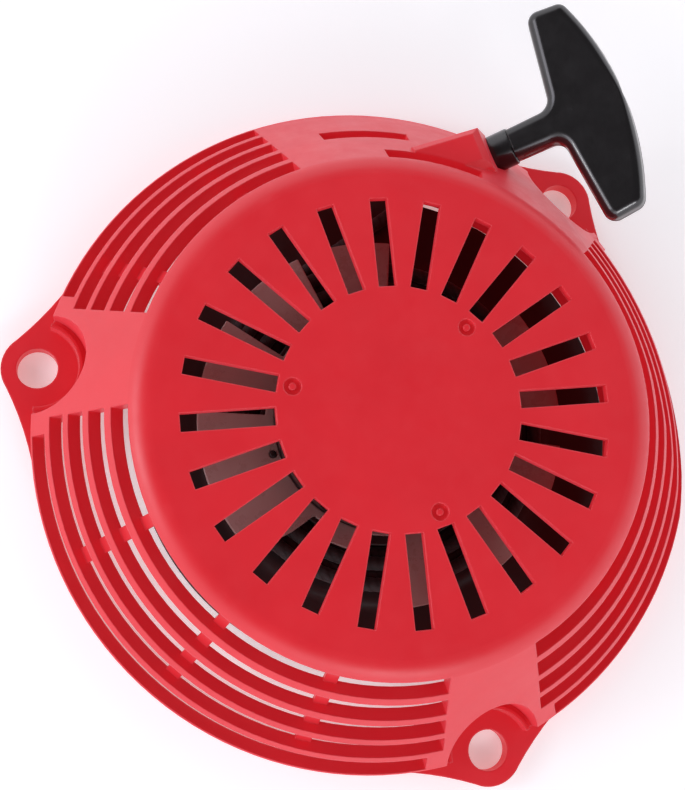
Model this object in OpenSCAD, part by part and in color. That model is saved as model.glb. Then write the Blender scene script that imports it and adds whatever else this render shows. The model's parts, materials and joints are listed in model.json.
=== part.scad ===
// Recoil starter for a small engine.
// Millimetres. The back mounting plane is z = 0, the reel turns about Z and
// the cap faces +Z. The rope leaves toward +X and rises with the outlet.

/* [Housing] */
// Height of the cap's outer face above the mounting plane
cap_z = 49.3; // [48:0.1:50.5]
// Thickness of the cap
cap_t = 2.5; // [2:0.1:3]
// Radius of the sharp corner between the cap and the conical wall
cone_top_r = 71; // [70.5:0.1:71.5]
// Outer radius of the base rim
rim_r = 100.7; // [100:0.1:101.5]
// Height of the base rim
rim_z = 12.4; // [12:0.1:13]
// Thickness of the rim wall
rim_t = 3; // [2.6:0.1:3.4]
// Thickness of the conical wall
wall_t = 4.2; // [3.8:0.1:4.4]
// Radius of the rounded cap edge
edge_r = 8; // [6:0.5:8]
// How far the flattened side is drawn in at the rim
flat_in = 3.3; // [2.5:0.1:3.6]
// Direction of the flattened side
flat_angle = 5; // [0:1:10]

/* [Cap slots] */
// Number of radial slots in the cap
slot_count = 24; // [12:12:24]
// Width of a radial slot
slot_w = 5; // [4.2:0.1:5.4]
// Inner end of the radial slots
slot_in_r = 34.3; // [33:0.1:36]
// Outer end of the radial slots
slot_out_r = 59.9; // [58:0.1:62]
// Radius of the circle of moulding dimples
dimple_pcr = 30.2; // [29:0.1:31]
// Outer radius of a dimple
dimple_r = 2.4; // [2:0.1:2.8]

/* [Slatted wall] */
// Inner radius of the first ring slot
row_first_r = 73.3; // [73.1:0.1:73.6]
// Radial width of the first ring slot
row_gap = 4.5; // [4.2:0.1:4.6]
// How much narrower each further ring slot is
gap_step = 0.2; // [0.15:0.05:0.25]
// Radial width of the first slat
slat_w = 1.8; // [1.7:0.05:1.9]
// How much narrower each further slat is
slat_step = 0.13; // [0.1:0.01:0.15]
// Number of ring slots
row_count = 5; // [3:1:5]
// Angular width of a rib behind the slats
rib_angle = 2.8; // [2:0.1:3.5]

/* [Mounting ears] */
// Diameter of the circle of mounting holes
ear_pcd = 203.2; // [202.5:0.1:204]
// Radius of a mounting hole
ear_hole_r = 6; // [5:0.1:6.5]
// Radius of the ear's tip round the hole
ear_tip_r = 10.5; // [10:0.1:11.5]
// Thickness of an ear
ear_t = 5; // [4:0.1:6]
// Radius of the pocket that clears the bolt head
pocket_r = 15; // [14.5:0.1:15.5]

/* [Rope outlet] */
// Upward tilt of the rope outlet and of the handle
pull_tilt = 30; // [28:1:32]
// Top of the outlet block
outlet_top_z = 41; // [39:0.5:41.5]
// Side of the outlet block nearer the reel
outlet_y_min = 59.8; // [59.4:0.1:60]
// Far side of the outlet block
outlet_y_max = 72.4; // [72.2:0.1:73]

/* [Reel] */
// Outer radius of the front flange
flange_r = 54; // [53:0.1:54.4]
// Outer radius of the back flange
back_flange_r = 71.8; // [66:0.2:71.8]
// Front face of the front flange
flange_z = 27; // [26.5:0.1:27.2]
// Back face of the reel
reel_back_z = 16; // [15.8:0.1:16.2]
// Thickness of each flange
flange_t = 1.7; // [1.5:0.1:1.8]
// Radius of the rope floor of the drum
drum_r = 35.9; // [35.5:0.1:35.9]
// Outer radius of the spring cup
cup_r = 32; // [31.5:0.1:32.2]
// Front edge of the spring cup
cup_z = 39; // [38.8:0.1:39.4]
// Radius of the bearing bore
bore_r = 8.05; // [8.04:0.01:8.08]

/* [Rope] */
// Radius of the rope
rope_r = 2; // [1.8:0.1:2]
// Radius of the innermost turn's centre line
turn_r = 38; // [38:0.1:38.1]
// Radial pitch of the wound turns
turn_pitch = 3; // [3:0.05:3.05]
// Number of stored turns below the last one
turn_count = 4; // [2:1:4]

/* [Handle] */
// Half length of the crossbar
bar_half = 34.9; // [33:0.1:35]
// Distance from the stem's collar to the crown of the crossbar
crown_u = 36; // [35:0.1:37]
// Radius of the bowed outer face
bow_r = 89.3; // [86:0.1:95]
// Half width of the stem
stem_half = 5.3; // [5:0.1:5.5]
// Thickness of the handle
grip_t = 11; // [10:0.1:12]

/* [Pawls] */
// Distance of the pawl pivots from the axis
pawl_pivot_r = 26; // [25.8:0.1:26.2]
// Thickness of a pawl
pawl_t = 3.2; // [2.8:0.1:3.2]
// Angle of the first pawl pivot
pawl_angle = 75; // [70:1:80]
// Swing of a pawl from retracted to extended
pawl_swing = 28; // [24:1:28]
// Turn of the ratchet guide that swings the pawls out
guide_swing = 25; // [22:1:28]

/* [Hidden] */
$fn = 96;
eps = 0.01;
slope = (cap_z - rim_z) / (rim_r - cone_top_r);
slope_len = sqrt(1 + slope * slope);
norm_r = slope / slope_len;
norm_z = 1 / slope_len;
edge_c_z = cap_z - edge_r;
edge_c_r = cone_top_r - (edge_r - edge_r * norm_z) / norm_r;
cap_under_z = cap_z - cap_t;
inner_rim_r = rim_r - rim_t;
cone_in_r = cone_top_r - wall_t * norm_r;
cone_in_z = cap_z - wall_t * norm_z;
inner_rim_z = cone_in_z - slope * (inner_rim_r - cone_in_r);
inner_top_r = cone_in_r + (cone_in_z - cap_under_z) / slope;
flat_shift = 15.9;
flat_top_r = cone_top_r + 0.5 + flat_shift;
flat_rim_r = rim_r - flat_in + flat_shift;
flat_slope = (flat_rim_r - flat_top_r) / (cap_z - rim_z);
flat_t = wall_t * sqrt(1 + flat_slope * flat_slope);
flat_in_r = flat_rim_r - rim_t;
flat_in_z = rim_z - (flat_t - rim_t) / flat_slope;
flat_in_top_r = flat_in_r + (cap_under_z - flat_in_z) * flat_slope * -1;
ear_angles = [30, 150, 270];
ear_r = ear_pcd / 2;
ear_side_r = 100;
ear_bite = 0.05;
pocket_wall_t = 2;
lip_in_r = 12.3;
lip_out_r = 13.5;
lip_z = 9.5;
groove_z = 7.2;
sector_half = 50;
side_sectors = [210, 330];
upper_sector = [91.4, 140, 137.8];
short_slots = [[0, 49, 71], [2, 64.3, 81.8]];
side_rib_step = 25.7;
upper_ribs = [104.5, 130.2];
outlet_x = 68.5;
outlet_y = 66.6;
outlet_z = 30;
seat_u = -6.5;
seat_depth = 2.2;
seat_r = 6.3;
guide_u = -19.5;
guide_r = 4.5;
guide_len = 10.8;
guide_bore_r = 2.6;
boss_r = 7.4;
post_root_r = 13;
post_root_z = 41.5;
post_seat_r = 10;
post_seat_z = 26.6;
post_r = 8;
post_end_z = 11.8;
insert_r = 5;
insert_len = 12;
screw_r = 3;
seat_gap = 0.02;
hub_r = 12.5;
hub_z = 12.1;
cup_wall_t = 2.2;
cup_floor_z = 26.4;
groove_lo_z = reel_back_z + flange_t;
groove_hi_z = flange_z - flange_t;
groove_mid_z = (groove_lo_z + groove_hi_z) / 2;
turn_dz = 1.4;
last_r = turn_r + turn_pitch * turn_count;
notch_r = cup_r + 2.5;
tab_r = cup_r + 6.5;
web_r = cup_r + 1.2;
notches = [
    [23, 67, notch_r], [88, 97.5, notch_r], [118, 128, notch_r], [150, 158, notch_r],
    [213, 224, notch_r], [223.9, 236.1, tab_r], [236, 256, web_r], [272, 284, notch_r],
    [300, 313, notch_r], [333, 344, notch_r]
];
corner_cut = [[34.2, 214.5], [34.8, 212.9], [38, 211.6], [42, 210], [46, 208], [58, 207.5], [58, 214.5]];
peg_angles = [12, 77, 133, 177.5, 322];
peg_pcr = 33.9;
guard_r = 70.3;
guard_t = 2;
guard_z = 19.2;
guard_start = -62;
guard_sweep = 150;
guard_gap_z = 21.7;
guard_gap_start = 50;
guard_gap_sweep = 18;
flange_peg_r = 1;
knot_angle = 200;
knot_r = 3.3;
knot_pocket_r = 4.2;
knot_pcr = 30;
knot_z = reel_back_z + knot_r + 0.6;
pin_r = 2.5;
pawl_rest = -102;
arm_l = 17;
tooth_h = 3.6;
peg_l = 9;
peg_y = 0.8;
peg_r = 1.3;
washer_z = 10.4;
washer_t = 1.3;
washer_r = 12;
sleeve_r = 6;
sleeve_end_z = 6.2;
running_gap = 0.08;
plate_z = 8.6;
plate_t = 1.5;
head_flange_z = 4.8;
head_z = 1.2;
head_r = 5.77;
grip_bore_r = rope_r + 0.3;
knot_u = 27.8;
handle_knot_r = 3.8;
grip_pocket_r = 4.3;
grip_pocket_u = 22;
collar_r = 5.8;
elbow_u = 14.6;
elbow_r = 4;

// ---- helpers ----

// Height of the outer cone at radius r.
function cone_z(r) = cap_z - slope * (r - cone_top_r);

// Inner radius of ring slot k.
function row_in(k) = row_first_r + k * (row_gap + slat_w) - (gap_step + slat_step) * k * (k - 1) / 2;

// Outer radius of ring slot k.
function row_out(k) = row_in(k) + row_gap - gap_step * k;

// Local frame of the outlet: X runs along the pull, Z is up and square to it.
module along_pull() {
    translate([outlet_x, outlet_y, outlet_z])
        rotate([0, -pull_tilt, 0])
            children();
}

// Cylinder along the pull, from u0 to u1.
module pull_cyl(u0, u1, r) {
    along_pull()
        translate([u0, 0, 0])
            rotate([0, 90, 0])
                cylinder(h = u1 - u0, r = r);
}

// Frame at angle a and distance r from the reel axis.
module at_polar(a, r) {
    rotate([0, 0, a])
        translate([r, 0, 0])
            children();
}

// ---- housing ----

module outer_main() {
    rotate_extrude() {
        polygon([
            [0, 0], [rim_r, 0], [rim_r, rim_z],
            [edge_c_r + edge_r * norm_r, edge_c_z + edge_r * norm_z],
            [edge_c_r, edge_c_z], [edge_c_r, cap_z], [0, cap_z]
        ]);
        intersection() {
            translate([edge_c_r, edge_c_z])
                circle(r = edge_r);
            translate([edge_c_r, edge_c_z])
                square([edge_r + 1, edge_r + 1]);
        }
    }
}

// Larger shifted cone that trims the flattened side; its edges miss the rim's edge.
module shifted(top_r, low_r, low_z, high_z) {
    rotate([0, 0, flat_angle])
        translate([-flat_shift, 0, 0])
            rotate_extrude()
                polygon([
                    [0, -1], [low_r, -1], [low_r, low_z],
                    [top_r, high_z], [top_r, cap_z + 1], [0, cap_z + 1]
                ]);
}

module outer_body() {
    intersection() {
        outer_main();
        shifted(flat_top_r, flat_rim_r, rim_z + 0.05, cap_z);
    }
}

module cavity() {
    intersection() {
        rotate_extrude()
            polygon([
                [0, -2], [inner_rim_r, -2], [inner_rim_r, inner_rim_z],
                [inner_top_r, cap_under_z], [0, cap_under_z]
            ]);
        rotate([0, 0, flat_angle])
            translate([-flat_shift, 0, 0])
                rotate_extrude()
                    polygon([
                        [0, -3], [flat_in_r, -3], [flat_in_r, flat_in_z],
                        [flat_in_top_r, cap_under_z], [flat_in_top_r, cap_z], [0, cap_z]
                    ]);
    }
}

// Ring slot k between angles a0 and a1, cut square to the conical wall.
module ring_slot(k, a0, a1) {
    ra = row_in(k);
    rb = row_out(k);
    out_d = 4;
    in_d = wall_t + 3;
    rotate_extrude(angle = a1 - a0, start = a0)
        polygon([
            [ra + out_d * norm_r, cone_z(ra) + out_d * norm_z],
            [ra - in_d * norm_r, cone_z(ra) - in_d * norm_z],
            [rb - in_d * norm_r, cone_z(rb) - in_d * norm_z],
            [rb + out_d * norm_r, cone_z(rb) + out_d * norm_z]
        ]);
}

// Sector of ring slots centred on angle a; the last row is shorter.
module slot_sector(a, half) {
    for (k = [0 : row_count - 1]) {
        trim = (k == row_count - 1) ? 2.3 : -0.15 * k;
        ring_slot(k, a - half + trim, a + half - trim);
    }
}

// Rib that joins the slats along their inner edges.
module rib(a) {
    d0 = wall_t * 0.72;
    d1 = wall_t * 1.25;
    rotate_extrude(angle = rib_angle, start = a - rib_angle / 2)
        polygon([
            [cone_top_r - d0 * norm_r, cone_z(cone_top_r) - d0 * norm_z],
            [cone_top_r - d1 * norm_r, cone_z(cone_top_r) - d1 * norm_z],
            [rim_r - 3 - d1 * norm_r, cone_z(rim_r - 3) - d1 * norm_z],
            [rim_r - 2.5 - d0 * norm_r, cone_z(rim_r - 2.5) - d0 * norm_z]
        ]);
}

// Centre of the concave side on side s of an ear, which just cuts the tip and a rim circle.
function side_centre(base, base_r, s) = let (
    d = [ear_r, 0] - base,
    far = base_r - ear_bite + ear_side_r,
    near = ear_tip_r - ear_bite + ear_side_r,
    a = (d * d + far * far - near * near) / (2 * norm(d)),
    h = s * sqrt(far * far - a * a)
) base + (a * d + h * [-d[1], d[0]]) / norm(d);

// One half of an ear's plate, on side s of the hole.
module ear_half(base, base_r, s) {
    c = side_centre(base, base_r, s);
    tip = [ear_r, 0];
    rim_dir = (c - base) / norm(c - base);
    tip_pt = tip + (c - tip) * ear_tip_r / norm(c - tip);
    difference() {
        linear_extrude(height = ear_t)
            polygon([
                base + rim_dir * (base_r - 6), base + rim_dir * base_r, c, tip_pt,
                [tip_pt[0], -s], [rim_r - 9, -s]
            ]);
        translate([c[0], c[1], -1])
            cylinder(h = ear_t + 2, r = ear_side_r);
    }
}

// Ear at angle a: round tip, concave sides that run smoothly into the rim.
module ear_plate(a) {
    flat_base = flat_shift * [cos(180 + flat_angle - a), sin(180 + flat_angle - a)];
    rotate([0, 0, a]) {
        translate([ear_r, 0, 0])
            cylinder(h = ear_t, r = ear_tip_r);
        ear_half([0, 0], rim_r, 1);
        if (a == ear_angles[0])
            ear_half(flat_base, flat_rim_r, -1);
        else
            ear_half([0, 0], rim_r, -1);
    }
}

// Wall round the bolt-head pocket, kept inside the moulding's outline.
module pocket_wall() {
    intersection() {
        translate([ear_r, 0, 0])
            cylinder(h = cap_z, r = pocket_r + pocket_wall_t);
        outer_body_turned();
    }
}

module outer_body_turned() {
    rotate_extrude()
        polygon([
            [60, 0], [rim_r - 1.6, 0], [rim_r - 1.6, rim_z - 1],
            [cone_top_r + 2, cone_z(cone_top_r + 2) - 1.2], [60, cone_z(cone_top_r + 2) - 1.2]
        ]);
}

// Pocket for the bolt head: a deep floor, a lip round it and a groove outside.
module pocket_cut() {
    translate([ear_r, 0, 0])
        difference() {
            translate([0, 0, ear_t])
                cylinder(h = cap_z, r = pocket_r);
            translate([-20, -20, 0])
                difference() {
                    cube([19, 40, lip_z]);
                    translate([20, 20, -1])
                        cylinder(h = lip_z + 2, r = lip_in_r);
                    translate([20, 20, groove_z])
                        difference() {
                            cylinder(h = lip_z, r = pocket_r + 1);
                            translate([0, 0, -1])
                                cylinder(h = lip_z + 2, r = lip_out_r);
                        }
                }
        }
}

// Outlet block: end face square to the pull, side toward the reel slanted.
module outlet_block() {
    ct = cos(pull_tilt);
    st = sin(pull_tilt);
    tt = st / ct;
    face_x = outlet_x + seat_u * ct;
    face_z = outlet_z + seat_u * st;
    low_z = 6;
    side_y = 44;
    chamfer = 1.8;
    top_x = face_x - (outlet_top_z - face_z) * tt;
    intersection() {
        translate([0, outlet_y_max, 0])
            rotate([90, 0, 0])
                linear_extrude(height = outlet_y_max - side_y)
                    polygon([
                        [34, low_z], [face_x + (face_z - low_z) * tt, low_z],
                        [top_x + chamfer * tt, outlet_top_z - chamfer],
                        [top_x - chamfer, outlet_top_z], [34, outlet_top_z]
                    ]);
        rotate([90, 0, 90])
            linear_extrude(height = 90)
                polygon([
                    [side_y, low_z], [outlet_y_max, low_z], [outlet_y_max, outlet_top_z - chamfer],
                    [outlet_y_max - chamfer, outlet_top_z], [outlet_y_min + 2.5, outlet_top_z],
                    [outlet_y_min, outlet_top_z - 2.5], [outlet_y_min - 2, face_z], [side_y, low_z + 4]
                ]);
    }
}

module dimples() {
    ring_depth = 1.3;
    nub_r = 1;
    for (a = ear_angles)
        at_polar(a, dimple_pcr)
            translate([0, 0, cap_z - ring_depth])
                difference() {
                    cylinder(h = 2, r = dimple_r);
                    cylinder(h = ring_depth - 0.2, r = nub_r);
                }
}

module centre_post() {
    translate([0, 0, post_root_z])
        cylinder(h = cap_under_z - post_root_z + 1, r = post_root_r);
    translate([0, 0, post_seat_z])
        cylinder(h = cap_under_z - post_seat_z, r = post_seat_r);
    translate([0, 0, post_end_z])
        cylinder(h = cap_under_z - post_end_z, r = post_r);
    for (a = [0 : 60 : 300])
        rotate([0, 0, a])
            translate([post_seat_r - 1, -1, post_root_z + 1.5])
                cube([20, 2, cap_under_z - post_root_z - 1]);
}

// Guard wall that hangs from the cap beside the reel, cut higher where the rope passes under it.
module guard_wall() {
    difference() {
        rotate_extrude(angle = guard_sweep, start = guard_start)
            translate([guard_r, guard_z])
                square([guard_t, cap_under_z + 0.5 - guard_z]);
        rotate_extrude(angle = guard_gap_sweep, start = guard_gap_start)
            translate([guard_r - 1, guard_z - 1])
                square([guard_t + 2, guard_gap_z + 1 - guard_z]);
    }
}

module housing() {
    last_row = row_count - 1;
    $fn = 48;
    color([0.80, 0.05, 0.08])
    difference() {
        union() {
            difference() {
                union() {
                    outer_body();
                    difference() {
                        outlet_block();
                        translate([0, 0, -1])
                            cylinder(h = post_seat_z, r = 60);
                    }
                    for (a = ear_angles)
                        ear_plate(a);
                }
                cavity();
                for (a = side_sectors)
                    slot_sector(a, sector_half);
                for (k = [0 : last_row])
                    ring_slot(k, upper_sector[0], (k == last_row) ? upper_sector[2] : upper_sector[1]);
                for (short = short_slots)
                    ring_slot(short[0], short[1], short[2]);
            }
            for (a = side_sectors, k = [-1 : 1])
                rib(a + side_rib_step * k);
            for (a = upper_ribs)
                rib(a);
            for (a = ear_angles)
                rotate([0, 0, a])
                    pocket_wall();
            pull_cyl(guide_u, seat_u - 1, boss_r);
            centre_post();
            intersection() {
                guard_wall();
                outer_body();
            }
        }
        for (a = ear_angles)
            rotate([0, 0, a]) {
                pocket_cut();
                translate([ear_r, 0, -1])
                    cylinder(h = ear_t + 2, r = ear_hole_r);
            }
        for (k = [0 : slot_count - 1])
            rotate([0, 0, k * 360 / slot_count])
                translate([slot_in_r, -slot_w / 2, cap_under_z - 1])
                    cube([slot_out_r - slot_in_r, slot_w, cap_t + 2]);
        dimples();
        pull_cyl(guide_u - 5, 30, guide_r + seat_gap);
        pull_cyl(guide_u - 3, guide_u, boss_r - 1);
        pull_cyl(seat_u - seat_depth, 30, seat_r);
        translate([0, 0, post_end_z - 1])
            cylinder(h = insert_len + 5, r = screw_r + 0.1);
        translate([0, 0, post_end_z - 1])
            cylinder(h = insert_len + 1, r = insert_r + seat_gap);
        translate([0, -spring_slot_w / 2, post_seat_z + 0.8])
            cube([post_seat_r + 1, spring_slot_w, 12]);
    }
}

module post_insert() {
    color([0.80, 0.62, 0.25])
    translate([0, 0, post_end_z])
        difference() {
            cylinder(h = insert_len, r = insert_r);
            translate([0, 0, -1])
                cylinder(h = insert_len + 2, r = screw_r + seat_gap);
        }
}

module rope_guide() {
    lip_r = 1.3;
    color([0.75, 0.75, 0.76])
    along_pull()
        translate([guide_u, 0, 0])
            rotate([0, 90, 0])
                rotate_extrude() {
                    translate([guide_bore_r, 0])
                        square([guide_r - guide_bore_r, guide_len]);
                    translate([guide_bore_r + lip_r, -lip_r])
                        circle(r = lip_r);
                    translate([guide_bore_r + lip_r, -lip_r])
                        square([boss_r - guide_bore_r - 2 * lip_r, lip_r]);
                }
}

// ---- rope ----

tube_sides = 10;
run_sweep = 70;
mouth_u = guide_u - 2.8;
mouth = [outlet_x + mouth_u * cos(pull_tilt), outlet_y, outlet_z + mouth_u * sin(pull_tilt)];
mouth_r = sqrt(mouth[0] * mouth[0] + mouth[1] * mouth[1]);
leave_angle = atan2(mouth[1], mouth[0]) + acos(last_r / mouth_r);
leave = [last_r * cos(leave_angle), last_r * sin(leave_angle), groove_mid_z - turn_dz];
last_u = 23.9;

// Point on the pull line at distance u.
function pull_pt(u) = [outlet_x + u * cos(pull_tilt), outlet_y, outlet_z + u * sin(pull_tilt)];

// Centre line: the last turn, the free run, the bend at the guide, the stem.
function mix(a, b, t) = a + (b - a) * t;
turn_pts = [for (i = [0 : 9]) let (a = leave_angle + run_sweep * (1 - i / 10))
    [last_r * cos(a), last_r * sin(a), leave[2]]];
free_pts = [for (i = [0 : 5]) mix(leave, mouth, i / 6 * 0.93)];
bend_pts = [for (i = [0 : 3]) let (t = (i + 0.5) / 4)
    mix(mix(mix(leave, mouth, 0.95), mouth, t), mix(mouth, pull_pt(guide_u + 1), t), t)];
stem_pts = [for (i = [0 : 4]) pull_pt(mix(guide_u + 1.6, last_u, i / 4))];
run_pts = concat(turn_pts, free_pts, bend_pts, stem_pts);

function unit(v) = v / norm(v);
function tangent(i) = unit(run_pts[min(i + 1, len(run_pts) - 1)] - run_pts[max(i - 1, 0)]);

// Ring of the swept tube at point i; the side vectors follow world Z.
function run_ring(i) = let (
    t = tangent(i),
    s = unit(cross([0, 0, 1], t)),
    w = cross(t, s)
) [for (j = [0 : tube_sides - 1])
    run_pts[i] + rope_r * (s * cos(j * 360 / tube_sides) + w * sin(j * 360 / tube_sides))];

module rope_run() {
    n = len(run_pts);
    m = tube_sides;
    pts = [for (i = [0 : n - 1]) each run_ring(i)];
    sides = [for (i = [0 : n - 2], j = [0 : m - 1])
        [i * m + j, i * m + (j + 1) % m, (i + 1) * m + (j + 1) % m, (i + 1) * m + j]];
    tri = [for (q = sides) each [[q[0], q[2], q[1]], [q[0], q[3], q[2]]]];
    start_cap = [for (j = [0 : m - 1]) j];
    end_cap = [for (j = [m - 1 : -1 : 0]) (n - 1) * m + j];
    color([0.12, 0.12, 0.13])
    polyhedron(points = pts, faces = concat(tri, [start_cap, end_cap]));
}

module rope_winding() {
    color([0.12, 0.12, 0.13])
    rotate_extrude()
        for (k = [0 : turn_count - 1])
            translate([turn_r + k * turn_pitch, groove_mid_z + turn_dz * ((k % 2 == 0) ? -1 : 1)])
                circle(r = rope_r + 0.06);
}

module rope_knot_reel() {
    color([0.12, 0.12, 0.13])
    at_polar(knot_angle, knot_pcr)
        translate([0, 0, knot_z])
            sphere(r = knot_r);
}

// ---- reel ----

module reel() {
    flat_r = 50;
    dish_r = 55;
    dish_drop = 1.6;
    color([0.06, 0.06, 0.065])
    difference() {
        union() {
            rotate_extrude()
                polygon([
                    [0, reel_back_z], [flat_r - 1, reel_back_z], [dish_r - 1, reel_back_z - dish_drop + 0.2],
                    [back_flange_r, reel_back_z - dish_drop + 0.2], [back_flange_r, groove_lo_z - dish_drop],
                    [dish_r, groove_lo_z - dish_drop], [flat_r + 0.2, groove_lo_z], [0, groove_lo_z]
                ]);
            translate([0, 0, reel_back_z])
                cylinder(h = groove_hi_z - reel_back_z, r = drum_r);
            translate([0, 0, hub_z])
                cylinder(h = flange_z - hub_z, r = hub_r);
            translate([0, 0, reel_back_z])
                cylinder(h = cup_z - reel_back_z, r = cup_r);
            for (a = peg_angles)
                at_polar(a, peg_pcr)
                    translate([0, 0, groove_hi_z - 1])
                        cylinder(h = flange_t + 1.6, r = flange_peg_r);
        }
        translate([0, 0, cup_floor_z])
            cylinder(h = cup_z, r = cup_r - cup_wall_t);
        cylinder(h = cup_z, r = bore_r);
        for (side = [0, 180])
            at_polar(pawl_angle + side, pawl_pivot_r)
                cylinder(h = 22, r = pin_r + seat_gap);
        at_polar(knot_angle, knot_pcr) {
            translate([0, 0, reel_back_z - 1])
                cylinder(h = 9, r = knot_pocket_r);
            translate([0, 0, knot_z])
                rotate([0, 90, 0])
                    cylinder(h = drum_r - knot_pcr + 1, r = rope_r + 0.2);
        }
        rotate([0, 0, -60])
            translate([cup_r - cup_wall_t - 1, -spring_slot_w / 2, cup_floor_z + 1])
                cube([cup_wall_t + 3, spring_slot_w, cup_z]);
    }
}

// Notch in the front flange from angle a0 to a1, outward of radius r.
module flange_notch(a0, a1, r) {
    rotate_extrude(angle = a1 - a0, start = a0)
        translate([r, groove_hi_z - 1])
            square([flange_r + 3 - r, flange_t + 2]);
}

// Pale ring pressed over the cup; its petals hold the rope in the groove.
module front_flange() {
    color([0.86, 0.85, 0.80])
    difference() {
        translate([0, 0, groove_hi_z])
            cylinder(h = flange_t, r = flange_r);
        translate([0, 0, groove_hi_z - 1])
            cylinder(h = flange_t + 2, r = cup_r + seat_gap);
        for (notch = notches)
            flange_notch(notch[0], notch[1], notch[2]);
        translate([0, 0, groove_hi_z - 1])
            linear_extrude(height = flange_t + 2)
                polygon([for (c = corner_cut) c[0] * [cos(c[1]), sin(c[1])]]);
        for (a = peg_angles)
            at_polar(a, peg_pcr)
                translate([0, 0, groove_hi_z - 1])
                    cylinder(h = flange_t + 2, r = flange_peg_r + seat_gap);
    }
}

module spring_cover() {
    cover_t = 1.2;
    color([0.10, 0.10, 0.11])
    translate([0, 0, cup_z])
        difference() {
            translate([0, 0, -2.5])
                cylinder(h = cover_t + 2.5, r = cup_r + 1.2);
            translate([0, 0, -3])
                cylinder(h = 3, r = cup_r + seat_gap);
            translate([0, 0, -3])
                cylinder(h = 6, r = post_seat_r + 1.4);
        }
}

// Flat spiral: strip thickness, number of turns and steps per turn.
spring_t = 0.8;
spring_slot_w = 1.2;
spring_turns = 7;
spring_steps = 24;
spring_in_r = post_seat_r + 0.6;
spring_out_r = cup_r - cup_wall_t - 0.6;
spring_n = spring_turns * spring_steps;
function spiral_r(i) = spring_in_r + (spring_out_r - spring_t - spring_in_r) * i / spring_n;
function spiral_pt(i, dr) = let (a = i * 360 / spring_steps) (spiral_r(i) + dr) * [cos(a), sin(a)];

module recoil_spring() {
    inner = [for (i = [0 : spring_n]) spiral_pt(i, 0)];
    outer = [for (i = [spring_n : -1 : 0]) spiral_pt(i, spring_t)];
    color([0.35, 0.38, 0.42])
    translate([0, 0, cup_floor_z + 0.6])
        linear_extrude(height = cup_z - cup_floor_z - 1.2)
            polygon(concat(inner, outer));
}

// ---- pawls and ratchet guide ----

module pawl_pin(side) {
    color([0.70, 0.71, 0.72])
    at_polar(pawl_angle + side, pawl_pivot_r) {
        translate([0, 0, plate_z + plate_t + 0.3])
            cylinder(h = 1, r = pin_r + 1.2);
        translate([0, 0, plate_z + plate_t + 0.3])
            cylinder(h = 22 - plate_z - plate_t - 0.4, r = pin_r);
    }
}

module pawl_pin_1() {
    pawl_pin(0);
}

module pawl_pin_2() {
    pawl_pin(180);
}

// Pawl: round eye on the pin, straight arm, tooth at the tip and a guide peg.
module pawl(side) {
    eye_r = pin_r + 2.4;
    color([0.62, 0.63, 0.65])
    at_polar(pawl_angle + side, pawl_pivot_r)
        translate([0, 0, reel_back_z - 0.2 - pawl_t])
            rotate([0, 0, pawl_rest])
                difference() {
                    union() {
                        cylinder(h = pawl_t, r = eye_r);
                        linear_extrude(height = pawl_t)
                            polygon([
                                [-1, 0.1 - eye_r], [arm_l * 0.55, -pin_r - 1.8], [arm_l - 1, -1.6],
                                [arm_l, tooth_h], [arm_l - 3.6, 2.4], [4, eye_r - 0.6], [-1, eye_r - 0.2]
                            ]);
                        translate([peg_l, peg_y, -3.8])
                            cylinder(h = 4.6, r = peg_r);
                    }
                    translate([0, 0, -5])
                        cylinder(h = 12, r = pin_r + 0.05);
                }
}

module pawl_1() {
    pawl(0);
}

module pawl_2() {
    pawl(180);
}

// Torsion spring on the pin, drawn as the ring that its coils fill.
module pawl_spring(side) {
    color([0.72, 0.73, 0.74])
    at_polar(pawl_angle + side, pawl_pivot_r)
        translate([0, 0, plate_z + plate_t + 1.35])
            rotate_extrude()
                translate([pin_r + 0.3, 0])
                    square([0.8, reel_back_z - pawl_t - plate_z - plate_t - 1.65]);
}

module pawl_spring_1() {
    pawl_spring(0);
}

module pawl_spring_2() {
    pawl_spring(180);
}

// Centre of a pawl's peg in the guide's frame at fraction t of the travel.
function peg_at(t) = let (
    a = pawl_rest + pawl_swing * t,
    x = pawl_pivot_r + peg_l * cos(a) - peg_y * sin(a),
    y = peg_l * sin(a) + peg_y * cos(a),
    g = pawl_angle - guide_swing * t
) [x * cos(g) - y * sin(g), x * sin(g) + y * cos(g)];

// Plate with two cam slots that push the pawl pegs outward as it lags the reel.
module ratchet_guide() {
    lobe_r = 33.8;
    steps = 3;
    color([0.66, 0.67, 0.69])
    translate([0, 0, plate_z])
        difference() {
            union() {
                cylinder(h = plate_t, r = 15);
                for (side = [0, 180])
                    rotate_extrude(angle = 37, start = side + pawl_angle - 50)
                        translate([12, 0])
                            square([lobe_r - 12, plate_t]);
            }
            translate([0, 0, -1])
                cylinder(h = plate_t + 2, r = sleeve_r + running_gap);
            for (side = [0, 180])
                rotate([0, 0, side])
                    translate([0, 0, -1])
                        linear_extrude(height = plate_t + 2)
                            for (i = [0 : steps - 1])
                                hull() {
                                    translate(peg_at(i / steps))
                                        circle(r = peg_r + 0.35, $fn = 32);
                                    translate(peg_at((i + 1) / steps))
                                        circle(r = peg_r + 0.35, $fn = 32);
                                }
        }
}

module friction_spring() {
    color([0.72, 0.73, 0.74])
    translate([0, 0, sleeve_end_z + 0.1])
        rotate_extrude()
            translate([sleeve_r + 0.5, 0])
                square([1.1, plate_z - sleeve_end_z - 0.2]);
}

module thrust_washer() {
    color([0.70, 0.71, 0.72])
    difference() {
        union() {
            translate([0, 0, washer_z])
                cylinder(h = washer_t, r = washer_r);
            translate([0, 0, sleeve_end_z])
                cylinder(h = washer_z - sleeve_end_z + 0.5, r = sleeve_r);
        }
        cylinder(h = 20, r = screw_r + 0.1);
    }
}

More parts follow.
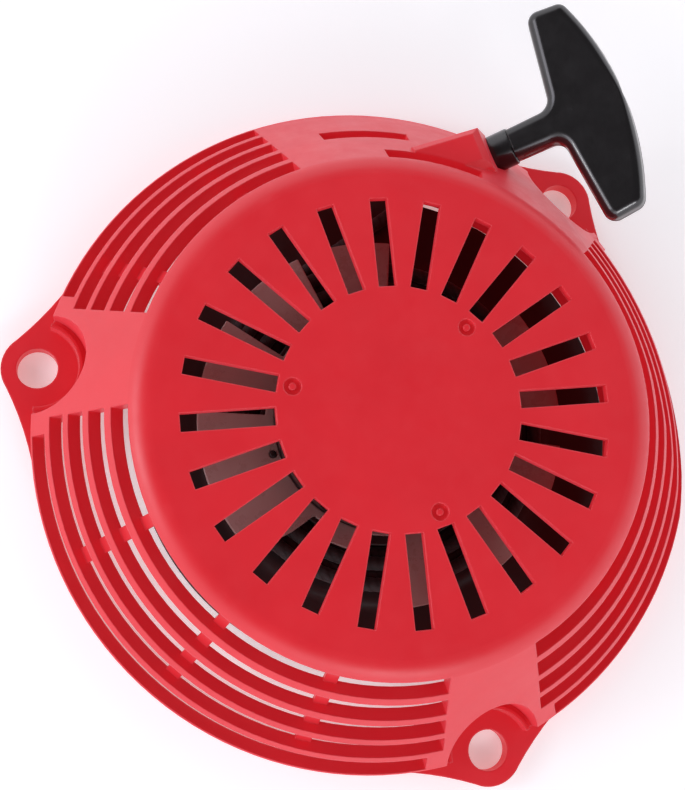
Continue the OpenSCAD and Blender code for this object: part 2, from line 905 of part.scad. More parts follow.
module centre_screw() {
    color([0.70, 0.71, 0.72])
    union() {
        translate([0, 0, head_flange_z])
            cylinder(h = sleeve_end_z - head_flange_z, r = 9.5);
        translate([0, 0, head_z])
            cylinder(h = head_flange_z - head_z + 0.1, r = head_r, $fn = 6);
        translate([0, 0, head_flange_z])
            cylinder(h = 20, r = screw_r);
    }
}

// ---- handle ----

module grip_retainer() {
    color([0.70, 0.71, 0.72])
    difference() {
        pull_cyl(grip_pocket_u + 0.2, grip_pocket_u + 1.6, grip_pocket_r - 0.3);
        pull_cyl(grip_pocket_u - 2, grip_pocket_u + 4, rope_r + 0.35);
    }
}

module rope_knot_handle() {
    color([0.12, 0.12, 0.13])
    along_pull()
        translate([knot_u, 0, 0])
            sphere(r = handle_knot_r);
}

// Outline of the T seen from the front: stem, elbows, arms and bowed face.
module grip_outline() {
    root_half = 8;
    end_u = 18;
    tip_u = 20.6;
    face_u = crown_u - 5.6;
    end_half = bar_half - 1.6;
    intersection() {
        polygon([
            [elbow_u, -root_half], [end_u, -end_half], [tip_u, -bar_half], [face_u, -end_half],
            [crown_u + 1, -end_half / 2], [crown_u + 1, end_half / 2], [face_u, end_half],
            [tip_u, bar_half], [end_u, end_half], [elbow_u, root_half]
        ]);
        translate([crown_u - bow_r, 0])
            circle(r = bow_r, $fn = 180);
    }
    translate([0, -stem_half])
        square([elbow_u + 2, 2 * stem_half]);
    for (s = [-1, 1])
        difference() {
            translate([elbow_u - elbow_r / 2 + 0.5, s * (stem_half + elbow_r / 2 - 0.1)])
                square([elbow_r + 1, elbow_r + 0.2], center = true);
            translate([elbow_u - elbow_r, s * (stem_half + elbow_r)])
                circle(r = elbow_r, $fn = 48);
        }
}

module handle_grip() {
    color([0.05, 0.05, 0.055])
    difference() {
        along_pull()
            translate([0, 0, -grip_t / 2])
                linear_extrude(height = grip_t)
                    grip_outline();
        pull_cyl(-5, 30, grip_bore_r);
        pull_cyl(grip_pocket_u, crown_u + 5, grip_pocket_r);
    }
}

module grip_collar() {
    color([0.07, 0.07, 0.075])
    difference() {
        pull_cyl(seat_u - seat_depth + 0.2, 0, collar_r);
        pull_cyl(-20, 5, grip_bore_r);
    }
}

housing();
post_insert();
rope_guide();
rope_run();
reel();
front_flange();
spring_cover();
recoil_spring();
rope_winding();
rope_knot_reel();
pawl_pin_1();
pawl_pin_2();
pawl_spring_1();
pawl_spring_2();
pawl_1();
pawl_2();
ratchet_guide();
friction_spring();
thrust_washer();
centre_screw();
grip_retainer();
rope_knot_handle();
handle_grip();
grip_collar();
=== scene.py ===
"""Recoil starter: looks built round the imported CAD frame, in metres, row frame.

The shapes are drawn in millimetres and scaled by MM.
"""

import json
import math

import bmesh
import bpy
from mathutils import Matrix, Vector


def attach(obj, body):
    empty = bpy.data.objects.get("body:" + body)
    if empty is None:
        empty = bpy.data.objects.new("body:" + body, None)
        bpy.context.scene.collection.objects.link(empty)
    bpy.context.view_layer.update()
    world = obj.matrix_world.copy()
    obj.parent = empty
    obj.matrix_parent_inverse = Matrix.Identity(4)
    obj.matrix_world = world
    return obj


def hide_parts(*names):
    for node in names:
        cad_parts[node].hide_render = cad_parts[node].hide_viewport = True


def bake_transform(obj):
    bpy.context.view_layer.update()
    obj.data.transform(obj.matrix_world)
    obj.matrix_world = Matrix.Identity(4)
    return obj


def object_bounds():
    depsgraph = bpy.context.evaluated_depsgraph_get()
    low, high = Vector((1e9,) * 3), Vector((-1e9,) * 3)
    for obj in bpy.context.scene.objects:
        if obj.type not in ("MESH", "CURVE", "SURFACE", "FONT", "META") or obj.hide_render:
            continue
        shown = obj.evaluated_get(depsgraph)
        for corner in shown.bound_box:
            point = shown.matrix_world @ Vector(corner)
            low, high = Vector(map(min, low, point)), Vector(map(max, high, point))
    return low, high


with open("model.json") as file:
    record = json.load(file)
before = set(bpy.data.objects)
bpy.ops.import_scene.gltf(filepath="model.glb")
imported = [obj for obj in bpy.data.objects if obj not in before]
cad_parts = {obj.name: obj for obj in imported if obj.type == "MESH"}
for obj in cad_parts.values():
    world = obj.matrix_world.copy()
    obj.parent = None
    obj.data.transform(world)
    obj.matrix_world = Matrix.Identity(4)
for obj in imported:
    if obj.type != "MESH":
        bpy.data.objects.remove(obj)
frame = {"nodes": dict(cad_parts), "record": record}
CAD_BOX = [list(c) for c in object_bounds()]
NODES = frame["nodes"]
MM = 0.001
BODY_OF = {n: b for b, ns in frame["record"]["behaviour"]["bodies"].items() for n in ns}

# ---- camera ----

CAMERA_AT = (-88.062, -28.683, 363.817)
SENSOR_WIDTH, FOCAL_LENGTH = 36.0, 54.73
CAMERA_TURN = (
    (0.92103, 0.31614, -0.22749),
    (-0.34764, 0.93065, -0.11419),
    (0.17561, 0.18426, 0.96706),
)


def make_camera():
    data = bpy.data.cameras.new("camera")
    data.sensor_width = SENSOR_WIDTH
    data.lens = FOCAL_LENGTH
    data.clip_start = 0.005
    data.clip_end = 20.0
    cam = bpy.data.objects.new("camera", data)
    m = Matrix(CAMERA_TURN).to_4x4()
    m.translation = Vector(CAMERA_AT) * MM
    cam.matrix_world = m
    bpy.context.scene.collection.objects.link(cam)
    bpy.context.scene.camera = cam


make_camera()

# ---- the pull line ----

PULL_TILT = math.radians(30.0)
PULL_AT = Vector((68.5, 66.6, 30.0)) * MM
PULL_TURN = Matrix.Rotation(-PULL_TILT, 4, "Y")
PULL = Matrix.Translation(PULL_AT) @ PULL_TURN


def along(u, v=0.0, w=0.0):
    """A point by its millimetres along the pull, across it and out of the handle's front face."""
    return PULL @ (Vector((u, v, w)) * MM)


# ---- materials ----


EDGE_GAIN = 6.0
RED_GLOW = (0.90, 0.012, 0.022)
SHEEN_TINT = (1.0, 0.80, 1.0)


class Shade:
    """A principled material with short helpers for procedural nodes."""

    def __init__(self, name):
        self.mat = bpy.data.materials.new(name)
        self.mat.use_nodes = True
        self.tree = self.mat.node_tree
        self.bsdf = self.tree.nodes["Principled BSDF"]
        self.coords = self.tree.nodes.new("ShaderNodeTexCoord").outputs["Object"]

    def node(self, kind, links=(), **values):
        n = self.tree.nodes.new(kind)
        for key, value in values.items():
            setattr(n, key, value)
        for key, value in dict(links).items():
            if hasattr(value, "links"):
                self.tree.links.new(value, n.inputs[key])
            else:
                n.inputs[key].default_value = value
        return n

    def noise(self, scale, detail=3.0, rough=0.55):
        return self.node(
            "ShaderNodeTexNoise",
            {"Vector": self.coords, "Scale": scale, "Detail": detail, "Roughness": rough},
        ).outputs["Fac"]

    def ramp(self, fac, stops):
        n = self.node("ShaderNodeValToRGB", {"Fac": fac})
        e = n.color_ramp.elements
        while len(e) < len(stops):
            e.new(0.5)
        for item, (pos, col) in zip(e, stops):
            item.position = pos
            item.color = (*col, 1.0)
        return n.outputs["Color"]

    def span(self, fac, low, high, from_low=0.0, from_high=1.0):
        return self.node(
            "ShaderNodeMapRange",
            {"Value": fac, "From Min": from_low, "From Max": from_high, "To Min": low, "To Max": high},
        ).outputs["Result"]

    def mix(self, fac, tone, colour):
        """The tone, going over to one plain colour as fac rises."""
        n = self.node("ShaderNodeMix", {0: fac, 6: tone, 7: (*colour, 1.0)}, data_type="RGBA")
        return n.outputs[2]

    def math(self, how, a, b=0.0):
        return self.node("ShaderNodeMath", {0: a, 1: b}, operation=how).outputs[0]

    def round_normal(self, radius):
        return self.node("ShaderNodeBevel", {"Radius": radius}, samples=6).outputs["Normal"]

    def edge_mask(self, rounded):
        """1 along sharp edges, 0 on flat faces."""
        flat = self.node("ShaderNodeNewGeometry").outputs["Normal"]
        dot = self.node("ShaderNodeVectorMath", {0: rounded, 1: flat}, operation="DOT_PRODUCT").outputs["Value"]
        away = self.math("SUBTRACT", 1.0, dot)
        n = self.node("ShaderNodeMath", {0: away, 1: EDGE_GAIN}, operation="MULTIPLY")
        n.use_clamp = True
        return n.outputs[0]

    def bump(self, height, strength, distance, normal=None):
        links = {"Height": height, "Strength": strength, "Distance": distance}
        if normal is not None:
            links["Normal"] = normal
        return self.node("ShaderNodeBump", links).outputs["Normal"]

    def set(self, **values):
        names = {
            "color": "Base Color", "rough": "Roughness", "metal": "Metallic", "normal": "Normal",
            "coat": "Coat Weight", "coat_rough": "Coat Roughness", "spec": "Specular IOR Level",
            "sheen": "Sheen Weight", "sheen_rough": "Sheen Roughness", "sheen_tint": "Sheen Tint",
            "glow": "Emission Strength", "glow_color": "Emission Color",
        }
        for key, value in values.items():
            socket = self.bsdf.inputs[names[key]]
            if hasattr(value, "links"):
                self.tree.links.new(value, socket)
            elif isinstance(value, tuple):
                socket.default_value = (*value, 1.0)
            else:
                socket.default_value = value
        return self.mat


def moulded(name, tones, rough, edge, round_r, grain=0.05, worn=0.2):
    """Moulded plastic: cloudy tone, fine grain, soft edges with a little wear."""
    s = Shade(name)
    dark, mid, light = tones
    rounded = s.round_normal(round_r)
    cloud = s.noise(38.0, 4.0)
    tone = s.ramp(cloud, [(0.30, dark), (0.52, mid), (0.74, light)])
    wear = s.math("MULTIPLY", s.edge_mask(rounded), s.span(s.noise(420.0, 4.0), 0.0, worn, 0.42, 0.7))
    tone = s.mix(wear, tone, edge)
    fine = s.noise(2600.0, 2.0)
    scuff = s.noise(130.0, 6.0, 0.7)
    normal = s.bump(fine, grain, 0.0001, rounded)
    s.set(color=tone, rough=s.span(scuff, rough - 0.06, rough + 0.08, 0.3, 0.7), normal=normal)
    return s


def metal(name, dark, light, rough):
    """Bare or plated metal: cloudy tone, fine grain, slightly rounded edges."""
    s = Shade(name)
    rounded = s.round_normal(0.00025)
    cloud = s.noise(90.0, 5.0)
    tone = s.ramp(cloud, [(0.3, dark), (0.7, light)])
    fine = s.noise(1500.0, 3.0)
    normal = s.bump(fine, 0.08, 0.00005, rounded)
    grind = s.span(s.noise(260.0, 5.0), rough - 0.08, rough + 0.1)
    return s.set(color=tone, metal=1.0, rough=grind, normal=normal)


# a little glow stands in for the light that scatters inside the red plastic
RED = moulded(
    "red_moulding",
    ((0.45, 0.0075, 0.0130), (0.48, 0.0090, 0.0150), (0.51, 0.0110, 0.0175)),
    0.40, (0.66, 0.080, 0.11), 0.0007, worn=0.35,
).set(glow_color=RED_GLOW, glow=0.26, sheen=0.10, sheen_rough=0.6, sheen_tint=SHEEN_TINT)
BLACK = moulded(
    "black_moulding",
    ((0.0075, 0.0066, 0.0068), (0.0085, 0.0074, 0.0077), (0.0098, 0.0086, 0.0090)),
    0.20, (0.026, 0.024, 0.025), 0.0005, grain=0.02, worn=0.12,
).set(coat=0.35, coat_rough=0.10)
# near-black reel: partly the moulding's own colour, partly painted shade for the dark inside of the housing
REEL_BLACK_AND_SHADE = moulded(
    "reel_black_and_shade",
    ((0.0050, 0.0050, 0.0052), (0.0070, 0.0068, 0.0070), (0.0095, 0.0092, 0.0095)),
    0.40, (0.035, 0.034, 0.036), 0.0004,
).mat
NYLON = moulded(
    "natural_nylon",
    ((0.28, 0.23, 0.21), (0.32, 0.27, 0.25), (0.37, 0.32, 0.30)),
    0.28, (0.60, 0.56, 0.52), 0.0004,
).mat
STEEL = metal("zinc_steel", (0.50, 0.50, 0.51), (0.66, 0.66, 0.67), 0.34)
SPRING = metal("spring_steel", (0.20, 0.22, 0.26), (0.34, 0.36, 0.40), 0.28)
BRASS = metal("turned_brass", (0.56, 0.38, 0.13), (0.72, 0.52, 0.22), 0.30)


def yarn(name):
    """Black braided yarn: crossing strands whose pitch follows the pull line, fine fibre noise."""
    s = Shade(name)
    co, si = math.cos(PULL_TILT), math.sin(PULL_TILT)
    axes = ((co, 0, si), (0, 1, 0), (-si, 0, co))
    local = s.node("ShaderNodeVectorMath", {0: s.coords, 1: PULL_AT}, operation="SUBTRACT").outputs[0]
    u, v, w = (s.node("ShaderNodeVectorMath", {0: local, 1: axis}, operation="DOT_PRODUCT").outputs["Value"]
               for axis in axes)
    turn = s.math("MULTIPLY", s.math("ARCTAN2", v, w), 4.0)
    run = s.math("MULTIPLY", u, 1500.0)
    one = s.math("ABSOLUTE", s.math("COSINE", s.math("ADD", turn, run)))
    two = s.math("ABSOLUTE", s.math("COSINE", s.math("SUBTRACT", turn, run)))
    braid = s.math("MAXIMUM", one, two)
    fibre = s.noise(3200.0, 3.0)
    shade = s.math("MULTIPLY", braid, s.span(fibre, 0.6, 1.0))
    # painted shade: the yarn's tone is darker in the grooves between the strands and lighter on their crowns
    tone = s.ramp(shade, [
        (0.35, (0.003, 0.003, 0.0035)),
        (0.75, (0.011, 0.011, 0.012)),
        (1.0, (0.020, 0.020, 0.022)),
    ])
    normal = s.bump(shade, 0.6, 0.0003)
    return s.set(color=tone, rough=0.75, normal=normal, sheen=0.15)


ROPE = yarn("rope_yarn")

USES = {
    RED: ["housing"],
    BLACK: ["handle_grip", "grip_collar", "spring_cover"],
    REEL_BLACK_AND_SHADE: ["reel"],
    NYLON: ["front_flange"],
    STEEL: ["rope_guide", "pawl_pin_1", "pawl_pin_2", "pawl_1", "pawl_2", "ratchet_guide", "thrust_washer",
            "centre_screw", "grip_retainer"],
    SPRING: ["recoil_spring", "pawl_spring_1", "pawl_spring_2", "friction_spring"],
    BRASS: ["post_insert"],
    ROPE: ["rope_run", "rope_winding", "rope_knot_reel", "rope_knot_handle"],
}
MATERIAL_OF = {name: mat for mat, names in USES.items() for name in names}
for name, mat in MATERIAL_OF.items():
    data = NODES[name].data
    data.materials.clear()
    data.materials.append(mat)

# ---- shapes ----

# angles between faces, in degrees
CREASE = 40.0
SHARP_FROM = 26.0
FLAT_WITHIN = 0.25


def add_object(name, data):
    obj = bpy.data.objects.new(name, data)
    bpy.context.scene.collection.objects.link(obj)
    return obj


def shade_smooth(mesh):
    mesh.polygons.foreach_set("use_smooth", [True] * len(mesh.polygons))


def add_mesh(name, verts, faces):
    mesh = bpy.data.meshes.new(name)
    mesh.from_pydata([tuple(v) for v in verts], [], faces)
    shade_smooth(mesh)
    return add_object(name, mesh)


def apply_modifiers(obj):
    """Bakes the modifiers of obj into its mesh."""
    depsgraph = bpy.context.evaluated_depsgraph_get()
    mesh = bpy.data.meshes.new_from_object(obj.evaluated_get(depsgraph))
    obj.modifiers.clear()
    old = obj.data
    obj.data = mesh
    bpy.data.meshes.remove(old)


def stand_in(obj, node, move=True):
    """obj is shown in place of a CAD node: its material and, unless move is false, its body."""
    obj.data.materials.clear()
    obj.data.materials.append(MATERIAL_OF[node])
    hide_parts(node)
    if move:
        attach(obj, BODY_OF[node])


def even_normals(obj):
    """Smooth shading led by the larger faces."""
    mod = obj.modifiers.new("normals", "WEIGHTED_NORMAL")
    mod.keep_sharp = True
    mod.weight = 50


def face_normals(obj, front):
    """Smooth shading that keeps the flat front and back faces flat up to their rounded edges."""
    mesh = obj.data
    front = front.normalized()
    limit = math.cos(math.radians(CREASE))
    around = [[] for _ in mesh.vertices]
    for face in mesh.polygons:
        for v in face.vertices:
            around[v].append(face)
    normals = []
    for face in mesh.polygons:
        for v in face.vertices:
            total = Vector()
            flat = None
            for other in around[v]:
                if other.normal.dot(face.normal) < limit:
                    continue
                total += other.normal * other.area
                if abs(other.normal.dot(front)) > 0.9999:
                    flat = other.normal
            normals.append(tuple(flat or total.normalized()))
    shade_smooth(mesh)
    mesh.normals_split_custom_set(normals)


def rounded_copy(node, width):
    """A CAD node with its sharp edges rounded by width, in millimetres."""
    work = bmesh.new()
    work.from_mesh(NODES[node].data)
    bmesh.ops.remove_doubles(work, verts=work.verts, dist=2e-6)
    bmesh.ops.dissolve_limit(work, angle_limit=math.radians(FLAT_WITHIN), verts=work.verts, edges=work.edges)
    mesh = bpy.data.meshes.new(node + "_soft")
    work.to_mesh(mesh)
    work.free()
    shade_smooth(mesh)
    obj = add_object(node + "_soft", mesh)
    mod = obj.modifiers.new("round", "BEVEL")
    mod.width = width * MM
    mod.segments = 2
    mod.limit_method = "ANGLE"
    mod.angle_limit = math.radians(SHARP_FROM)
    mod.use_clamp_overlap = False
    mod.miter_outer = "MITER_ARC"
    apply_modifiers(obj)
    even_normals(obj)
    stand_in(obj, node)


# ---- handle ----


def fillet_path(corners, steps=8):
    """Closed outline through (u, v, radius) corners, each rounded by its radius."""
    path = []
    n = len(corners)
    for i in range(n):
        p = Vector(corners[i][:2])
        a = Vector(corners[i - 1][:2])
        b = Vector(corners[(i + 1) % n][:2])
        r = corners[i][2]
        if r == 0:
            path.append(p)
            continue
        da = (a - p).normalized()
        db = (b - p).normalized()
        half = da.angle(db) / 2
        reach = r / math.tan(half)
        centre = p + (da + db).normalized() * (r / math.sin(half))
        start = p + da * reach - centre
        end = p + db * reach - centre
        turn = math.pi - 2 * half
        sign = 1 if start.x * end.y - start.y * end.x > 0 else -1
        for k in range(steps + 1):
            t = sign * turn * k / steps
            path.append(centre + Vector((start.x * math.cos(t) - start.y * math.sin(t),
                                         start.x * math.sin(t) + start.y * math.cos(t))))
    return path


def inset(path, d, share):
    """The anticlockwise closed outline, moved inward by d times each point's share."""
    out = []
    n = len(path)
    for i in range(n):
        t = (path[(i + 1) % n] - path[i - 1]).normalized()
        out.append(path[i] + Vector((-t.y, t.x)) * d * share[i])
    return out


def handle_grip():
    """The T: rounded all round, a faint parting line at mid thickness, knot pocket in the crown."""
    arc_c, arc_r, arc_half = -53.3, 89.3, math.radians(21.9)
    side = [(-8.0, -5.0, 4.0), (0.0, -5.05, 0), (14.2, -5.35, 4.0), (17.9, -34.8, 3.7), (29.7, -33.5, 3.6)]
    crown = []
    for k in range(-31, 32):
        a = arc_half * k / 33
        crown.append((arc_c + arc_r * math.cos(a), arc_r * math.sin(a), 0))
    corners = side + crown + [(u, -v, r) for u, v, r in reversed(side)]
    base = fillet_path(corners)
    top, edge = 5.5, 3.0
    wall = top - edge
    profile = [(0.0, 0.0), (0.0, 0.10), (0.10, 0.22), (0.13, 1.2), (0.30, wall)]
    for k in range(1, 9):
        a = math.radians(90) * k / 8
        profile.append((0.30 + edge * (1 - math.cos(a)), wall + edge * math.sin(a)))
    profile.append((0.30 + edge + 0.12, top))
    rings = [(d, -z) for d, z in reversed(profile)] + profile[1:]
    n = len(base)
    # the edges are sharper where the knot pocket opens in the middle of the crown
    share = [1 - 0.6 * math.exp(-((p.y / 10.0) ** 2)) if p.x > 30 else 1 for p in base]
    verts, faces = [], []
    for d, z in rings:
        verts += [along(p.x, p.y, z) for p in inset(base, d, share)]
    for k in range(len(rings) - 1):
        for i in range(n):
            j = (i + 1) % n
            faces.append((k * n + i, k * n + j, (k + 1) * n + j, (k + 1) * n + i))
    faces.append(tuple(range(n))[::-1])
    faces.append(tuple((len(rings) - 1) * n + i for i in range(n)))
    obj = add_mesh("grip_moulding", verts, faces)
    work = bmesh.new()
    work.from_mesh(obj.data)
    bmesh.ops.triangulate(work, faces=[f for f in work.faces if len(f.verts) > 4])
    cut = bmesh.ops.bisect_plane(work, geom=work.verts[:] + work.edges[:] + work.faces[:], dist=1e-7,
                                 plane_co=along(0.0), plane_no=along(1.0) - along(0.0), clear_inner=True)
    rim = [e for e in cut["geom_cut"] if isinstance(e, bmesh.types.BMEdge)]
    bmesh.ops.contextual_create(work, geom=rim)
    bmesh.ops.recalc_face_normals(work, faces=work.faces)
    work.to_mesh(obj.data)
    work.free()
    drill(obj, -5.0, 40.0, 2.3)
    drill(obj, 22.0, 45.0, 4.3)
    face_normals(obj, along(0, 0, 1) - along(0))
    stand_in(obj, "handle_grip")


def rod(name, u0, u1, r):
    """A round bar along the pull line."""
    sides = 48
    turns = [2 * math.pi * k / sides for k in range(sides)]
    verts = [along(u, r * math.cos(a), r * math.sin(a)) for u in (u0, u1) for a in turns]
    faces = [(k, (k + 1) % sides, sides + (k + 1) % sides, sides + k) for k in range(sides)]
    faces += [tuple(range(sides))[::-1], tuple(range(sides, 2 * sides))]
    return add_mesh(name, verts, faces)


def drill(obj, u0, u1, r):
    """Cuts a round hole along the pull line."""
    tool = rod("tool", u0, u1, r)
    mod = obj.modifiers.new("hole", "BOOLEAN")
    mod.operation = "DIFFERENCE"
    mod.solver = "EXACT"
    mod.object = tool
    apply_modifiers(obj)
    bpy.data.objects.remove(tool)


def lathe(name, profile, place):
    """Closed ring: a closed (radius, height) outline in millimetres, turned about the local Z of place."""
    steps = 72
    verts, faces = [], []
    n = len(profile)
    for k in range(steps):
        a = 2 * math.pi * k / steps
        verts += [place @ (Vector((r * math.cos(a), r * math.sin(a), z)) * MM) for r, z in profile]
    for k in range(steps):
        for i in range(n):
            j = (i + 1) % n
            m = (k + 1) % steps
            faces.append((k * n + i, m * n + i, m * n + j, k * n + j))
    return add_mesh(name, verts, faces)


def grip_collar():
    """Collar under the stem: turned edges and a bore for the rope."""
    place = PULL @ Matrix.Rotation(math.radians(90), 4, "Y")
    profile = [(2.3, -8.5), (5.2, -8.5), (5.65, -8.2), (5.8, -7.7), (5.8, -0.5), (5.72, -0.2), (5.5, 0.0),
               (2.3, 0.0)]
    obj = lathe("collar_moulding", profile, place)
    even_normals(obj)
    stand_in(obj, "grip_collar")


# ---- rope, knots and wire springs ----

ROPE_R = 2.0
STRAND_RELIEF = 0.16


def tube(name, path, r, sides=32, relief=0.0, closed=False):
    """Round cord along a path of points; relief sinks the gaps between two crossing sets of strands."""
    n = len(path)
    pitch = 1.4
    tangents = []
    for i in range(n):
        a = path[(i - 1) % n] if closed or i else path[0]
        b = path[(i + 1) % n] if closed or i < n - 1 else path[-1]
        tangents.append((b - a).normalized())
    side = tangents[0].orthogonal().normalized()
    if abs(tangents[0].z) < 0.9:
        side = Vector((0, 0, 1)).cross(tangents[0]).normalized()
    if closed and relief:
        # a whole number of strands goes round
        length = sum((path[i] - path[i - 1]).length for i in range(n))
        pitch = round(pitch * length / math.pi) * math.pi / length
    verts, faces, s = [], [], 0.0
    for i, (p, t) in enumerate(zip(path, tangents)):
        if i:
            s += (p - path[i - 1]).length
        side = (side - t * side.dot(t)).normalized()
        up = t.cross(side)
        for j in range(sides):
            a = 2 * math.pi * j / sides
            high = max(abs(math.cos(2 * a + pitch * s)), abs(math.cos(2 * a - pitch * s)))
            verts.append((p + (side * math.cos(a) + up * math.sin(a)) * (r - relief * (1 - high))) * MM)
    for i in range(n if closed else n - 1):
        k = (i + 1) % n
        for j in range(sides):
            m = (j + 1) % sides
            faces.append((i * sides + j, i * sides + m, k * sides + m, k * sides + j))
    if not closed:
        faces.append(tuple(range(sides))[::-1])
        faces.append(tuple((n - 1) * sides + j for j in range(sides)))
    return add_mesh(name, verts, faces)


def even_path(points, step):
    """The polyline resampled at about one step between points."""
    lengths = [0.0]
    for a, b in zip(points, points[1:]):
        lengths.append(lengths[-1] + (b - a).length)
    count = max(2, round(lengths[-1] / step))
    out, k = [], 0
    for i in range(count + 1):
        d = lengths[-1] * i / count
        while k < len(points) - 2 and lengths[k + 1] < d:
            k += 1
        out.append(points[k].lerp(points[k + 1], (d - lengths[k]) / (lengths[k + 1] - lengths[k])))
    return out


def pull_mm(u):
    return along(u) / MM


def drawn_rope():
    """The last turn on the reel, the free run, the bend into the guide and the stretch inside the handle."""
    last_r, z = 50.0, 20.1
    mouth = pull_mm(-22.3)
    leave_angle = math.atan2(mouth.y, mouth.x) + math.acos(last_r / mouth.xy.length)
    points = []
    for k in range(71):
        a = leave_angle + math.radians(70 - k)
        points.append(Vector((last_r * math.cos(a), last_r * math.sin(a), z)))
    leave = points[-1]
    near = leave.lerp(mouth, 0.93)
    points += [leave.lerp(near, k / 20) for k in range(1, 21)]
    for k in range(1, 17):
        t = k / 16
        points.append(near.lerp(mouth, t).lerp(mouth.lerp(pull_mm(-17.9), t), t))
    points += [pull_mm(-17.9 + 41.8 * k / 60) for k in range(1, 61)]
    obj = tube("rope_drawn", even_path(points, 0.35), ROPE_R, 32, STRAND_RELIEF)
    stand_in(obj, "rope_run", move=False)
    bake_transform(obj)


def wound_rope():
    """The four stored turns, each outside the last and staggered along the axis."""
    verts, faces = [], []
    steps = 420
    angles = [2 * math.pi * i / steps for i in range(steps)]
    for k in range(4):
        r = 38.0 + 3.0 * k
        z = 21.5 + (1.4 if k % 2 else -1.4)
        ring = [Vector((r * math.cos(a), r * math.sin(a), z)) for a in angles]
        turn = tube("turn", ring, ROPE_R + 0.05, 20, STRAND_RELIEF, closed=True)
        base = len(verts)
        verts += [v.co.copy() for v in turn.data.vertices]
        faces += [tuple(base + i for i in f.vertices) for f in turn.data.polygons]
        bpy.data.objects.remove(turn)
    stand_in(add_mesh("rope_turns", verts, faces), "rope_winding")


def knot(name, node, centre, place, reach, r):
    """Tight overhand knot that fits inside a ball of the given reach."""
    size = (reach - r) / 3.0
    ring = []
    for i in range(150):
        t = 2 * math.pi * i / 150
        x = math.sin(t) + 2 * math.sin(2 * t)
        y = math.cos(t) - 2 * math.cos(2 * t)
        local = Vector((x, y, -1.1 * math.sin(3 * t)))
        ring.append(centre + place @ (local * size))
    stand_in(tube(name, ring, r, 24, 0.12, closed=True), node)


def coil(name, node, centre, r, wire, z0, z1, turns, start, tails=()):
    """Wire coil about a line parallel to the reel axis, with straight tails at its two ends."""
    steps = 40 * turns
    path = []
    for k in range(steps + 1):
        a = math.radians(start) + 2 * math.pi * turns * k / steps
        z = z0 + (z1 - z0) * k / steps
        path.append(Vector((centre[0] + r * math.cos(a), centre[1] + r * math.sin(a), z)))
    if tails:
        first = (path[0] - path[1]).normalized()
        last = (path[-1] - path[-2]).normalized()
        path = [path[0] + first * tails[0]] + path + [path[-1] + last * tails[1]]
    stand_in(tube(name, path, wire / 2, 12), node)


def rope_and_springs():
    """Every soft or sprung piece except the flat recoil spring, which is shown as its CAD node."""
    drawn_rope()
    wound_rope()
    turned = PULL_TURN.to_3x3() @ Matrix.Rotation(math.radians(90), 3, "Y")
    knot("knot_in_handle", "rope_knot_handle", pull_mm(27.8), turned, 3.8, 1.7)
    a = math.radians(200)
    seat = Vector((30 * math.cos(a), 30 * math.sin(a), 19.9))
    knot("knot_in_reel", "rope_knot_reel", seat, Matrix.Identity(3), 3.3, 1.55)
    for index, start in ((1, 75.0), (2, 255.0)):
        a = math.radians(start)
        coil(f"pawl_coil_{index}", f"pawl_spring_{index}", (26 * math.cos(a), 26 * math.sin(a)), 3.2, 0.5,
             11.75, 12.22, 2, start + 20, (3.0, 2.5))
    coil("friction_coil", "friction_spring", (0, 0), 7.05, 1.0, 6.85, 7.95, 2, 40)


EDGE_WIDTHS = {
    "reel": 0.4, "front_flange": 0.35, "spring_cover": 0.3, "thrust_washer": 0.2, "centre_screw": 0.3,
    "pawl_1": 0.3, "pawl_2": 0.3, "ratchet_guide": 0.25, "pawl_pin_1": 0.2, "pawl_pin_2": 0.2,
    "grip_retainer": 0.15, "post_insert": 0.3,
}

handle_grip()
grip_collar()
rope_and_springs()
for node, width in EDGE_WIDTHS.items():
    rounded_copy(node, width)

# ---- floor and light ----


FLOOR_HALF = 10.0
FLOOR_GAP = 0.0002


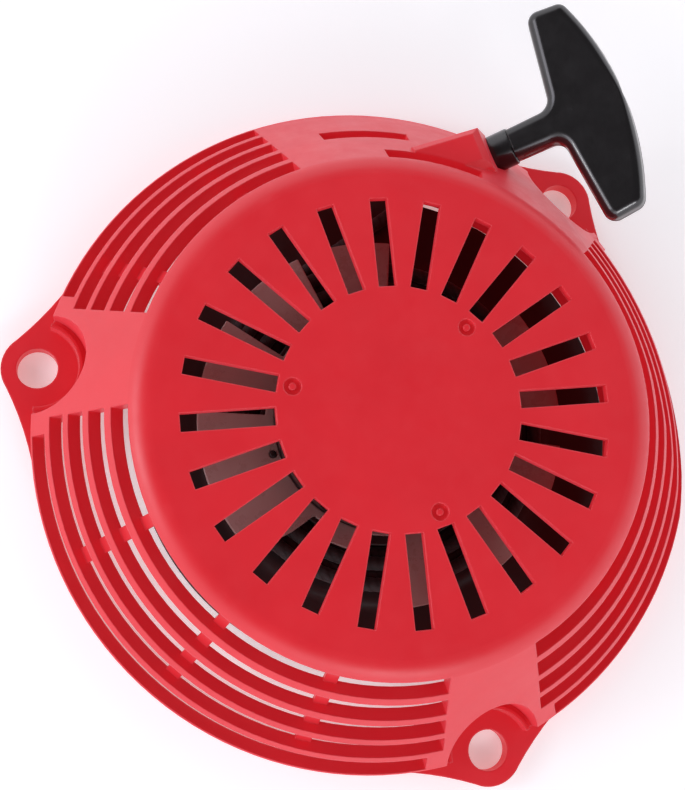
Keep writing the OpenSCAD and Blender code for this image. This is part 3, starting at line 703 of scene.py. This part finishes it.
def make_floor():
    """Pale floor just under the mounting face; its glow stands in for the studio's fill light."""
    mesh = bpy.data.meshes.new("floor")
    z = CAD_BOX[0][2] - FLOOR_GAP
    corners = [(x * FLOOR_HALF, y * FLOOR_HALF, z) for x, y in ((-1, -1), (1, -1), (1, 1), (-1, 1))]
    mesh.from_pydata(corners, [], [(0, 1, 2, 3)])
    floor = add_object("floor", mesh)
    s = Shade("pale_floor")
    tone = s.ramp(s.noise(3.0, 2.0), [(0.3, (0.90, 0.90, 0.90)), (0.7, (0.92, 0.92, 0.92))])
    mesh.materials.append(s.set(color=tone, rough=0.9, spec=0.1, glow_color=(1.0, 1.0, 1.0), glow=0.30))


def softbox(name, azimuth, elevation, distance, size, strength, color=(1, 1, 1)):
    """Area light aimed at the object; strength is its brightness there, whatever the distance."""
    az, el = math.radians(azimuth), math.radians(elevation)
    at = Vector((math.cos(az) * math.cos(el), math.sin(az) * math.cos(el), math.sin(el))) * distance
    data = bpy.data.lights.new(name, "AREA")
    data.shape = "RECTANGLE"
    data.size, data.size_y = size
    data.energy = strength * math.pi * distance * distance
    data.color = color
    lamp = add_object(name, data)
    lamp.location = at + Vector((0, 0, 0.03))
    lamp.rotation_euler = (-at).to_track_quat("-Z", "Y").to_euler()


STRIP, BOX = (0.16, 0.16), (0.8, 0.55)
COOL = (0.97, 0.94, 1.08)


def make_light():
    """Two large cool side lights, a small light inside each, and a pale room that is dimmer overhead."""
    world = bpy.data.worlds.new("studio")
    bpy.context.scene.world = world
    world.use_nodes = True
    tree = world.node_tree
    back = tree.nodes["Background"]
    back.inputs[0].default_value = (0.97, 0.96, 1.02, 1.0)
    coords = tree.nodes.new("ShaderNodeTexCoord")
    split = tree.nodes.new("ShaderNodeSeparateXYZ")
    level = tree.nodes.new("ShaderNodeMapRange")
    level.interpolation_type = "SMOOTHSTEP"
    for key, value in (("From Min", 0.50), ("From Max", 0.78), ("To Min", 1.38), ("To Max", 0.12)):
        level.inputs[key].default_value = value
    tree.links.new(coords.outputs["Generated"], split.inputs[0])
    tree.links.new(split.outputs[2], level.inputs["Value"])
    tree.links.new(level.outputs["Result"], back.inputs[1])
    softbox("left_strip", 163.0, 24.0, 1.0, STRIP, 0.35)
    softbox("front_strip", 262.0, 30.0, 1.0, STRIP, 0.30)
    softbox("left_box", 160.0, 27.0, 1.0, BOX, 0.9, COOL)
    softbox("front_box", 250.0, 27.0, 1.0, BOX, 0.5, COOL)


make_floor()
make_light()
scene = bpy.context.scene
scene.view_settings.view_transform = "Standard"
scene.view_settings.look = "None"
